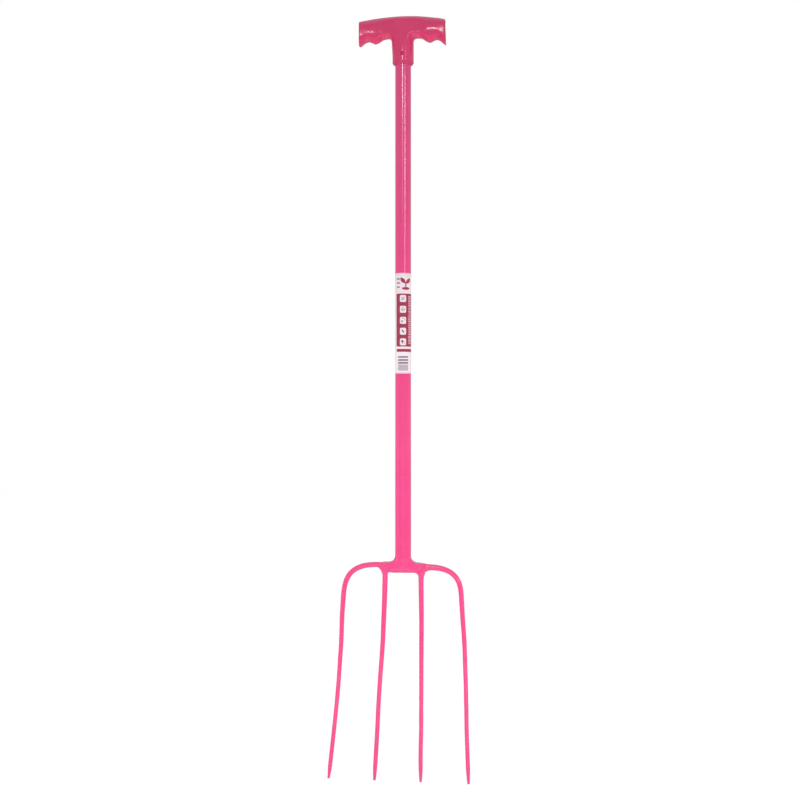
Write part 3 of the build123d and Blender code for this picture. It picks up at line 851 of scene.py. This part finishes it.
def tine_line(kind, side, sign):
    """The middle line and radii of a tine, from the bridge to the point."""
    if kind == "inner":
        below = np.linspace(0.0, TINE_LENGTH - NOSE, 60)
        start = [[29.2, 0.0, 3.0]]
        across = inner_x(below)
    else:
        below = np.linspace(44.0, TINE_LENGTH - NOSE, 56)
        start = [[x, -float(lean(max(-z, 0.0))), z] for x, z in ARM]
        across = outer_x(below)
    line = along(np.concatenate([start, np.stack([across, -lean(below), -below], 1)]), step=1.6)
    away = line[:, 0].copy()
    radii = bar_radius(-line[:, 2])
    if kind == "outer":
        if sign > 0:
            radii = radii + arm_swell(away) * ramp(line[:, 2], -3.0, 4.0)
        line[:, 2] += arm_rise(sign)(away) * ramp(line[:, 2], -40.0, -5.0)
    elif sign < 0:
        radii = radii + 0.12
    # the shift to the right fades in with distance from the middle
    fade = (26.0, 27.0) if kind == "inner" else (34.0, 60.0)
    line[:, 0] *= sign
    line[:, 0] += smooth(OFF_LINE[f"{kind}_{side}"])(-line[:, 2]) * ramp(away, *fade)
    # the drawn-out points run on a little, most where the tine leans most
    line[:, 2] += RUN_ON * line[:, 1]
    return line, radii


for side, sign in SIDES:
    for kind, seed in (("inner", 11), ("outer", 23)):
        line, radii = tine_line(kind, side, sign)
        points, faces = swept(line, radii, sides=28, uneven=0.05, seed=seed + int(sign))
        tine = mesh_object(f"tine_{kind}_{side}_bar", points, faces, [TINE_PAINT])
        register(tine, f"tine_{kind}_{side}")

# ---------------------------------------------------------------------------
# bridge
# ---------------------------------------------------------------------------
BRIDGE_HALF, BRIDGE_HALF_DEPTH, BRIDGE_HALF_HEIGHT = 33.6, 7.0, 8.0
BRIDGE_EDGE_R = 2.2
SPIGOT_R, SPIGOT_LOW, SPIGOT_TOP = 11.1, 15.0, 47.9  # stands up inside the shaft


def block(x, y, z):
    """The plain bridge: a bar with rounded edges."""
    edge = BRIDGE_EDGE_R
    dx = np.abs(x) - (BRIDGE_HALF - edge)
    dy = np.abs(y) - (BRIDGE_HALF_DEPTH - edge)
    dz = np.abs(z - BRIDGE_HALF_HEIGHT) - (BRIDGE_HALF_HEIGHT - edge)
    out = np.sqrt(np.maximum(dx, 0) ** 2 + np.maximum(dy, 0) ** 2 + np.maximum(dz, 0) ** 2)
    return out + np.minimum(np.maximum(dx, np.maximum(dy, dz)), 0.0) - edge


def dressed(body, x, z):
    """The top of the bridge is dressed down towards its right end."""
    return soft_max(body, (z - 16.5 + 0.17 * (x - 20.0)) * 0.986, 2.0)


def bridge_shape(x, y, z):
    body = block(x, y, z)
    # hammered faces, held flat underneath
    body = body + 0.09 * ripple(x, y, z, 17.0, 41) * ramp(z, 0.5, 3.0)
    body = dressed(body, x, z)
    spigot = soft_max(np.sqrt(x * x + y * y) - SPIGOT_R, z - SPIGOT_TOP, 1.2)
    spigot = np.maximum(spigot, SPIGOT_LOW - z)
    return np.minimum(body, spigot)


solid("bridge_bar", bridge_shape, (-35.5, -12.5, -1.5), (35.5, 12.5, 49.5), 0.8,
      HEAD_PAINT, "bridge")


# ---------------------------------------------------------------------------
# welds
# ---------------------------------------------------------------------------
def cone_line(x, y, z, start, end, start_r, end_r):
    """Distance to a round bar from start to end."""
    start, end = np.array(start, float), np.array(end, float)
    d = end - start
    px, py, pz = x - start[0], y - start[1], z - start[2]
    t = np.clip((px * d[0] + py * d[1] + pz * d[2]) / (d @ d), 0.0, 1.0)
    away = np.sqrt((px - t * d[0]) ** 2 + (py - t * d[1]) ** 2 + (pz - t * d[2]) ** 2)
    return away - (start_r + (end_r - start_r) * t)


def arm_bar(x, y, z, sign):
    """The first part of an arm, as a tapering round bar, with x outwards."""
    rise = arm_rise(sign)
    nodes = []
    for node_x, node_z in ARM[:5]:
        swell = float(arm_swell(node_x)) if sign > 0 else 0.0
        nodes.append(((node_x, 0, node_z + float(rise(node_x))), TINE_R + swell))
    distance = None
    for (start, start_r), (end, end_r) in zip(nodes, nodes[1:]):
        part = cone_line(x, y, z, start, end, start_r, end_r)
        distance = part if distance is None else np.minimum(distance, part)
    return distance


def inner_bar(x, y, z):
    """The top of an inner tine, with x outwards."""
    return cone_line(x, y, z, (29.2, 0, 4.0), (29.4, -2.2, -22.0), TINE_R, 4.12)


def only_bead(body, parts):
    """Sinks a join just below its parts wherever it adds nothing to them, so that
    only the bead itself shows."""
    depth, gain = 0.3, 3.0
    return body + np.maximum(0.0, depth - gain * (parts - body))


def ring_bead(x, y, z, centre, normal, radius, thick, lobes, seed):
    """A laid bead round a bar: overlapping pools of metal round a circle."""
    normal = np.array(normal, float)
    normal = normal / np.linalg.norm(normal)
    px, py, pz = x - centre[0], y - centre[1], z - centre[2]
    h = px * normal[0] + py * normal[1] + pz * normal[2]
    ux, uy, uz = px - h * normal[0], py - h * normal[1], pz - h * normal[2]
    away = np.sqrt(ux * ux + uy * uy + uz * uz)
    turn = np.arctan2(uz, uy) if abs(normal[0]) > 0.7 else np.arctan2(uy, ux)
    rng = np.random.default_rng(seed)
    pools = 0.25 * np.abs(np.sin(turn * lobes / 2 + rng.uniform(0, 3))) - 0.12
    pools = pools + 0.18 * np.sin(turn * 2 + rng.uniform(0, 6))
    pools = pools + 0.1 * np.sin(turn * 3 + rng.uniform(0, 6))
    return np.sqrt((away - radius) ** 2 + (h * 0.75) ** 2) - (thick + pools)


def foot_weld(x, y, z):
    """The fillet between the foot of the shaft and the bridge."""
    tube = soft_max(np.sqrt(x * x + y * y) - SHAFT_R, (5.2 - z) * 0.9, 7.0)
    box = dressed(block(x, y, z), x, z)
    # uneven, fuller on the left, and less of it down at the underside
    fillet = 11.0 + 0.8 * ripple(x, y, z, 15.0, 61) + 3.0 * ramp(-x, 5.0, 15.0)
    fillet = fillet * (0.7 + 0.3 * ramp(z, 0.5, 6.5))
    body = soft_min(tube, box, fillet)
    body = body + 0.07 * ripple(x, y, z, 6.0, 62)
    skin = only_bead(body, np.minimum(tube, box))
    skin = np.maximum(skin, z - 31.0)
    return np.maximum(skin, np.abs(x) - 27.0)


solid("weld_shaft_bead", foot_weld, (-28.5, -20.0, -1.5), (28.5, 20.0, 32.5), 0.62,
      WELD_PAINT, "weld_shaft")


def outer_weld(sign, notch, laid, seed):
    """The weld of an arm to the bridge end: notch is the fillet low down, laid the
    thickness of the beads."""
    top_fillet, least = 1.6, 0.3

    def shape(x, y, z):
        x = x * sign
        arm, tine, box = arm_bar(x, y, z, sign), inner_bar(x, y, z), block(x, y, z)
        if sign > 0:
            box = dressed(box, x, z)
        root = np.minimum(tine, box)
        fillet = top_fillet + (notch - top_fillet) * (1 - ramp(z, 4.0, 13.0))
        # round the front and back the arm flows into the block, and fades on it
        flow = 6.0 * ramp(np.abs(y), 2.5, 5.0) * (1 - ramp(z, 12.0, 14.5))
        fillet = np.maximum(fillet, flow)
        fillet = least + (fillet - least) * ramp(x, 27.6, BRIDGE_HALF)
        body = soft_min(arm, root, fillet)
        first = ring_bead(x, y, z, (34.4, 0, 10.1), (1, 0, 0.0), radius=TINE_R, thick=laid,
                          lobes=9, seed=seed)
        second = ring_bead(x, y, z, (36.4, 0, 10.0), (1, 0, 0.1), radius=4.0, thick=laid * 0.8,
                           lobes=10, seed=seed + 1)
        body = soft_min(body, soft_min(first, second, 0.8), 1.2)
        body = body + 0.08 * ripple(x, y, z, 4.2, seed + 2)
        skin = only_bead(body, np.minimum(arm, root))
        skin = np.maximum(skin, 26.5 - x)
        skin = np.maximum(skin, x - 60.0)
        return np.maximum(skin, -13.0 - z)

    return shape


def inner_weld(sign, root, seed):
    """The weld of an inner tine under the bridge: root is the fillet at its top."""
    least = 0.3

    def shape(x, y, z):
        x = x * sign
        tine, box = inner_bar(x, y, z), block(x, y, z)
        body = soft_min(tine, box, least + (root - least) * (1 - ramp(z, -1.0, 4.2)))
        bead = ring_bead(x, y, z, (29.2, 0, -0.3), (0, 0, 1), radius=TINE_R, thick=0.7,
                         lobes=9, seed=seed)
        body = soft_min(body, bead, 1.4)
        body = body + 0.06 * ripple(x, y, z, 4.0, seed + 2)
        skin = only_bead(body, np.minimum(tine, box))
        skin = np.maximum(skin, z - 5.0)
        skin = np.maximum(skin, 18.5 - x)
        return np.maximum(skin, -12.0 - z)

    return shape


def weld(name, shape, sign, near, far, low, high):
    """Meshes a weld from near to far outwards; low and high are (y, z) limits."""
    left, right = sorted((near * sign, far * sign))
    solid(f"{name}_bead", shape, (left - 0.17, *low), (right, *high), 0.42,
          WELD_PAINT, name)


WELDS = {
    "right": (dict(notch=14.0, laid=0.3, seed=71), dict(root=10.5, seed=101)),
    "left": (dict(notch=13.5, laid=0.45, seed=83), dict(root=5.6, seed=113)),
}
for side, sign in SIDES:
    outer, inner = WELDS[side]
    weld(f"weld_outer_{side}", outer_weld(sign, **outer), sign, near=25.0, far=62.0,
         low=(-10.35, -14.37), high=(10.2, 18.0))
    weld(f"weld_inner_{side}", inner_weld(sign, **inner), sign, near=17.0, far=37.5,
         low=(-8.67, -13.37), high=(8.5, 6.5))

# ---------------------------------------------------------------------------
# label: the film and what is printed on it. "across" is the arc length round the
# film from the front, to the right; "up" is the height.
# ---------------------------------------------------------------------------
LABEL_LOW, LABEL_HIGH = 317.7, 477.5
FILM_R, FILM_INNER_R = SHAFT_R + 0.13, SHAFT_R + 0.01
SEAM_HALF = math.radians(2.0)  # the open seam, at the back
INK_THICK = 0.022


def build_film():
    profile = [
        (FILM_INNER_R, LABEL_LOW),
        (FILM_R - 0.02, LABEL_LOW),
        (FILM_R, LABEL_LOW + 0.05),
        *[(FILM_R, z) for z in np.linspace(LABEL_LOW + 8, LABEL_HIGH - 8, 19)],
        (FILM_R, LABEL_HIGH - 0.05),
        (FILM_R - 0.02, LABEL_HIGH),
        (FILM_INNER_R, LABEL_HIGH),
        *[(FILM_INNER_R, z) for z in np.linspace(LABEL_HIGH - 8, LABEL_LOW + 8, 19)],
    ]
    points, faces = part_revolved(
        profile, sides=120, start=math.pi / 2 + SEAM_HALF, turn=2 * math.pi - 2 * SEAM_HALF
    )
    register(mesh_object("label_wrap_film", points, faces, [FILM]), "shaft_label")


build_film()


class Print:
    """One layer of flat shapes wrapped on the film, as thin closed solids."""

    def __init__(self, name, inks, lift):
        self.name, self.inks = name, inks
        self.radii = (FILM_R + lift, FILM_R + lift + INK_THICK)
        self.points, self.faces, self.slots = [], [], []

    def strip(self, left, right, ink):
        """left and right: matching lists of (across, up) points down the two sides of a
        shape. Rows between them are cut into columns so that it follows the curve."""
        rows = len(left)
        widest = max(abs(b[0] - a[0]) for a, b in zip(left, right))
        cols = max(2, int(widest / 0.8) + 1)
        base = len(self.points)
        for r in self.radii:
            for a, b in zip(left, right):
                for c in range(cols):
                    t = c / (cols - 1)
                    turn = -math.pi / 2 + (a[0] + (b[0] - a[0]) * t) / FILM_R
                    up = a[1] + (b[1] - a[1]) * t
                    self.points.append((r * math.cos(turn), r * math.sin(turn), up))

        def quad(*corners):
            self.faces.append(tuple(base + (k * rows + i) * cols + j for k, i, j in corners))
            self.slots.append(self.inks.index(ink))

        for i in range(rows - 1):
            for j in range(cols - 1):
                quad((1, i, j), (1, i + 1, j), (1, i + 1, j + 1), (1, i, j + 1))
                quad((0, i, j), (0, i, j + 1), (0, i + 1, j + 1), (0, i + 1, j))
        end = cols - 1
        for i in range(rows - 1):
            quad((0, i, 0), (0, i + 1, 0), (1, i + 1, 0), (1, i, 0))
            quad((0, i, end), (1, i, end), (1, i + 1, end), (0, i + 1, end))
        end = rows - 1
        for j in range(cols - 1):
            quad((0, 0, j), (1, 0, j), (1, 0, j + 1), (0, 0, j + 1))
            quad((0, end, j), (0, end, j + 1), (1, end, j + 1), (1, end, j))

    def rect(self, ink, across, up, width, height, corner=0.0):
        """A rectangle centred on (across, up), with rounded corners."""
        insets = [(0.0, 0.0)]
        if corner > 0:
            angles = [math.pi / 2 * k / 5 for k in range(6)]
            insets = [(corner * (1 - math.sin(t)), corner * (1 - math.cos(t))) for t in angles]
        rows = [(inset, up + height / 2 - drop) for inset, drop in insets]
        rows += [(inset, up - height / 2 + drop) for inset, drop in reversed(insets)]
        left = [(across - width / 2 + inset, row) for inset, row in rows]
        right = [(across + width / 2 - inset, row) for inset, row in rows]
        self.strip(left, right, ink)

    def disc(self, ink, across, up, r, flat=1.0):
        angles = np.linspace(0, math.pi, 25)
        left = [(across - r * math.sin(t) - 1e-3, up + r * flat * math.cos(t)) for t in angles]
        right = [(across + r * math.sin(t) + 1e-3, up + r * flat * math.cos(t)) for t in angles]
        self.strip(left, right, ink)

    def arc(self, ink, across, up, r, width, start, end):
        angles = np.radians(np.linspace(start, end, max(6, int(abs(end - start) / 9))))
        inner, outer = (
            [(across + rim * math.cos(t), up + rim * math.sin(t)) for t in angles]
            for rim in (r - width / 2, r + width / 2)
        )
        self.strip(inner, outer, ink)

    def bar(self, ink, start, end, width):
        """A straight stroke between two points."""
        d = np.array([end[0] - start[0], end[1] - start[1]])
        aside = np.array([-d[1], d[0]]) / np.linalg.norm(d) * width / 2
        steps = max(2, int(np.linalg.norm(d) / 0.8) + 1)
        middles = [np.array(start) + d * k / (steps - 1) for k in range(steps)]
        self.strip([tuple(m + aside) for m in middles], [tuple(m - aside) for m in middles], ink)

    def leaf(self, ink, across, up, length, width, turn):
        cos, sin = math.cos(math.radians(turn)), math.sin(math.radians(turn))
        left, right = [], []
        for t in np.linspace(0.03, 0.97, 13):
            x = (t - 0.5) * length
            half = width / 2 * math.sin(math.pi * t)
            left.append((across + x * cos - half * sin, up + x * sin + half * cos))
            right.append((across + x * cos + half * sin, up + x * sin - half * cos))
        self.strip(left, right, ink)

    def done(self):
        obj = mesh_object(self.name, self.points, self.faces, self.inks, self.slots)
        # strips drawn right to left are wound inwards: turn them round
        bm = bmesh.new()
        bm.from_mesh(obj.data)
        bmesh.ops.recalc_face_normals(bm, faces=bm.faces)
        bm.to_mesh(obj.data)
        bm.free()
        # bmesh rewrites the shading flags, so they are stored again
        obj.data.polygons.foreach_set("use_smooth", np.ones(len(obj.data.polygons), dtype=bool))
        register(obj)


def level(down):
    """Height of a place on the label, from its distance below the label's top edge."""
    return LABEL_HIGH - down


PANEL_TOP, PANEL_LOW, PANEL_ACROSS = 32.8, 117.0, 4.9  # top and low are below the label top
SQUARES = (40.7, 57.9, 75.4, 92.7, 109.6)  # middles, below the label top
SQUARE_ACROSS = 1.4


def print_colours():
    """First layer: the crimson panel, the rule, the code bars and the mark."""
    layer = Print("label_print_colours", [CRIMSON, GREY, MAUVE, CRIMSON_BRIGHT], lift=0.004)
    layer.rect(CRIMSON, PANEL_ACROSS, level((PANEL_TOP + PANEL_LOW) / 2), 31.0,
               PANEL_LOW - PANEL_TOP, corner=1.6)
    layer.rect(CRIMSON, PANEL_ACROSS, level(123.1), 30.6, 4.7, corner=2.2)
    # three thick code bars over a finer set
    for down, height in ((133.6, 2.5), (138.5, 2.8), (143.0, 2.9)):
        layer.rect(GREY, 1.6, level(down), 17.2, height)
    for k in range(6):
        layer.rect(GREY, 1.6, level(146.3 + 1.62 * k), 17.0, 1.05 if k % 2 else 0.85)
    # the mark: a seedling on a mound, beside three short strokes
    layer.leaf(CRIMSON, 1.3, level(11.9), length=13.0, width=6.2, turn=132)
    layer.leaf(CRIMSON_BRIGHT, 10.6, level(12.6), length=13.0, width=6.2, turn=46)
    layer.rect(CRIMSON, 6.0, level(18.0), 1.8, 8.4, corner=0.8)
    layer.disc(CRIMSON, 6.2, level(24.6), r=6.6, flat=0.34)
    for down in (9.4, 15.9, 22.4):
        layer.rect(MAUVE, -6.6, level(down), 5.6, 2.8, corner=1.1)
    layer.done()


def print_squares():
    """Second layer: the white squares and a column of uneven dashes."""
    layer = Print("label_print_squares", [WHITE, ROSE], lift=0.030)
    for down in SQUARES:
        layer.rect(WHITE, SQUARE_ACROSS, level(down), 10.1, 11.0, corner=2.2)
    rng = np.random.default_rng(7)
    down = 36.4
    while down < 114.0:
        height = float(rng.uniform(1.5, 3.2))
        width = float(rng.uniform(5.6, 7.4))
        across = 13.9 + rng.uniform(-0.3, 0.3)
        layer.rect(ROSE, across, level(down + height / 2), width, height, corner=0.5)
        down += height + float(rng.uniform(0.7, 1.4))
    layer.done()


def print_glyphs():
    """Third layer: a plain glyph in each square."""
    layer = Print("label_print_glyphs", [GREY, MAUVE, CRIMSON], lift=0.056)
    mid = SQUARE_ACROSS
    up = [level(down) for down in SQUARES]
    # two crossed strokes
    layer.bar(MAUVE, (mid - 2.6, up[0] - 2.6), (mid + 2.6, up[0] + 2.8), width=1.1)
    layer.bar(GREY, (mid - 2.6, up[0] + 2.4), (mid + 2.4, up[0] - 2.6), width=0.9)
    # a broken ring round a dot
    for start in (60, 150, 240, 330):
        layer.arc(MAUVE, mid, up[1], r=2.5, width=1.2, start=start, end=start + 62)
    layer.disc(MAUVE, mid, up[1], r=0.9)
    # a dot under an arc
    layer.disc(GREY, mid - 1.5, up[2] - 1.5, r=1.5)
    layer.arc(MAUVE, mid + 0.4, up[2] + 0.4, r=2.7, width=0.7, start=-40, end=130)
    layer.leaf(CRIMSON, mid, up[3], length=7.4, width=2.3, turn=-52)
    # a dot on a stroke, beside a thin stroke
    layer.disc(CRIMSON, mid - 1.0, up[4] + 0.8, r=2.0)
    layer.bar(GREY, (mid - 1.2, up[4] - 0.4), (mid - 1.0, up[4] - 3.4), width=1.0)
    layer.bar(MAUVE, (mid + 2.0, up[4] + 0.6), (mid + 3.0, up[4] - 3.2), width=0.7)
    layer.done()


print_colours()
print_squares()
print_glyphs()

# ---------------------------------------------------------------------------
# floor and world
# ---------------------------------------------------------------------------
FLOOR_Z = LOWEST - 0.05
FLOOR_HALF = 9000.0


def pale_floor():
    """Pale and matt. To the camera it is mostly an even white, as a lit sweep is."""
    glow_strength, glow_share = 1.04, 0.94
    n = Nodes("floor_pale")
    cloud = n.noise(scale=6.0, detail=3.0, rough=0.5)
    colour = n.clouded(cloud, (0.62, 0.62, 0.62), (0.66, 0.66, 0.66))
    normal = n.bump(n.noise(scale=90.0, rough=0.5), mm=0.05)
    material = n.finish(Base_Color=colour, Roughness=0.75, Normal=normal)
    glow = n.add("Emission")
    glow.inputs["Color"].default_value = (1.0, 1.0, 1.0, 1.0)
    glow.inputs["Strength"].default_value = glow_strength
    seen = n.add("LightPath").outputs["Is Camera Ray"]
    mix = n.add("MixShader")
    n.link(n.times(seen, glow_share), mix.inputs[0])
    n.link(n.shader.outputs[0], mix.inputs[1])
    n.link(glow.outputs[0], mix.inputs[2])
    n.link(mix.outputs[0], n.out.inputs[0])
    return material


corners = [(x * FLOOR_HALF, y * FLOOR_HALF, FLOOR_Z) for x, y in ((-1, -1), (1, -1), (1, 1), (-1, 1))]
mesh_object("floor", corners, [(0, 1, 2, 3)], [pale_floor()])

scene = bpy.context.scene
scene.view_settings.view_transform = "Standard"
scene.view_settings.look = "None"


def build_world():
    """White to the camera, dimmer as a light."""
    world = bpy.data.worlds.new("studio")
    scene.world = world
    world.use_nodes = True
    tree = world.node_tree
    tree.nodes.clear()
    out = tree.nodes.new("ShaderNodeOutputWorld")

    def background(colour, strength):
        node = tree.nodes.new("ShaderNodeBackground")
        node.inputs["Color"].default_value = colour
        node.inputs["Strength"].default_value = strength
        return node.outputs[0]

    seen = background(colour=(1.0, 1.0, 1.0, 1.0), strength=1.0)
    lit = background(colour=(1.0, 0.99, 0.99, 1.0), strength=0.48)
    path = tree.nodes.new("ShaderNodeLightPath")
    which = tree.nodes.new("ShaderNodeMixShader")
    tree.links.new(path.outputs["Is Camera Ray"], which.inputs[0])
    tree.links.new(lit, which.inputs[1])
    tree.links.new(seen, which.inputs[2])
    tree.links.new(which.outputs[0], out.inputs[0])


build_world()

# ---------------------------------------------------------------------------
# lights and camera, in metres
# ---------------------------------------------------------------------------
CAMERA_TURN = 7.4  # degrees from the front, to the right
YAW = math.radians(CAMERA_TURN)


def heading(turn):
    """Level unit vector, turned from the front to the right."""
    return Vector((math.sin(turn), -math.cos(turn), 0.0))


def area(name, place, target, width, height, power, glossy=True):
    data = bpy.data.lights.new(name, "AREA")
    data.shape = "RECTANGLE"
    data.size, data.size_y = width, height
    data.energy = power
    obj = bpy.data.objects.new(name, data)
    obj.location = place
    obj.rotation_euler = (Vector(target) - Vector(place)).to_track_quat("-Z", "Y").to_euler()
    obj.visible_camera = False
    if not glossy:
        obj.visible_glossy = False
    scene.collection.objects.link(obj)


# low, wide panels on four sides light the head more than the grip. They are left
# out of reflections, as the gloss shows only the softboxes.
for k in range(4):
    out = heading(math.radians(CAMERA_TURN + 90 * k)) * 0.8
    area(f"panel_{k}", place=(out.x, out.y, 0.05), target=(0, 0, 0.05),
         width=1.0, height=0.3, power=3.0, glossy=False)

# Softboxes above the camera. The key pair is a little to the camera's left, the fill
# pair to its right; each makes an upright line of reflection.
SOFTBOX_AWAY = 3.0
SOFTBOXES = (
    # name, radians from the camera, height, target height, width, tall, power
    ("key", -0.152, 1.68, 0.82, 0.30, 0.36, 5.2),
    ("key_low", -0.152, 1.27, 0.72, 0.30, 0.46, 0.55),
    ("fill", 0.46, 1.40, 0.76, 0.24, 0.42, 3.6),
    ("fill_low", 0.46, 1.00, 0.60, 0.24, 0.40, 2.3),
)
for name, turn, z, target_z, width, tall, power in SOFTBOXES:
    place = heading(YAW + turn) * SOFTBOX_AWAY + Vector((0, 0, z))
    area(name, place, (0, 0, target_z), width, tall, power)
# overhead, for the top of the crossbar and the shoulders
area("overhead", place=(0, 0, 2.7), target=(0, 0, 0), width=2.0, height=2.0, power=3.5)
# and a soft one behind, for the far side
area("far", place=(-1.35, 2.7, 1.43), target=(0, 0, 0.80),
     width=0.40, height=0.60, power=6.0, glossy=False)

CAMERA_AWAY, CAMERA_LEFT, CAMERA_HEIGHT = 1.8736, 0.005, 0.2755
to_camera = heading(YAW)
camera_right = Vector((math.cos(YAW), math.sin(YAW), 0.0))

camera_data = bpy.data.cameras.new("camera")
camera_data.lens = 52.7
camera_data.sensor_width = 36.0
camera_data.clip_start = 0.05
camera_data.clip_end = 60.0
camera = bpy.data.objects.new("camera", camera_data)
scene.collection.objects.link(camera)
camera.location = (
    to_camera * CAMERA_AWAY - camera_right * CAMERA_LEFT + Vector((0, 0, CAMERA_HEIGHT))
)
camera.rotation_mode = "QUATERNION"
camera.rotation_quaternion = (-to_camera).to_track_quat("-Z", "Y")
scene.camera = camera
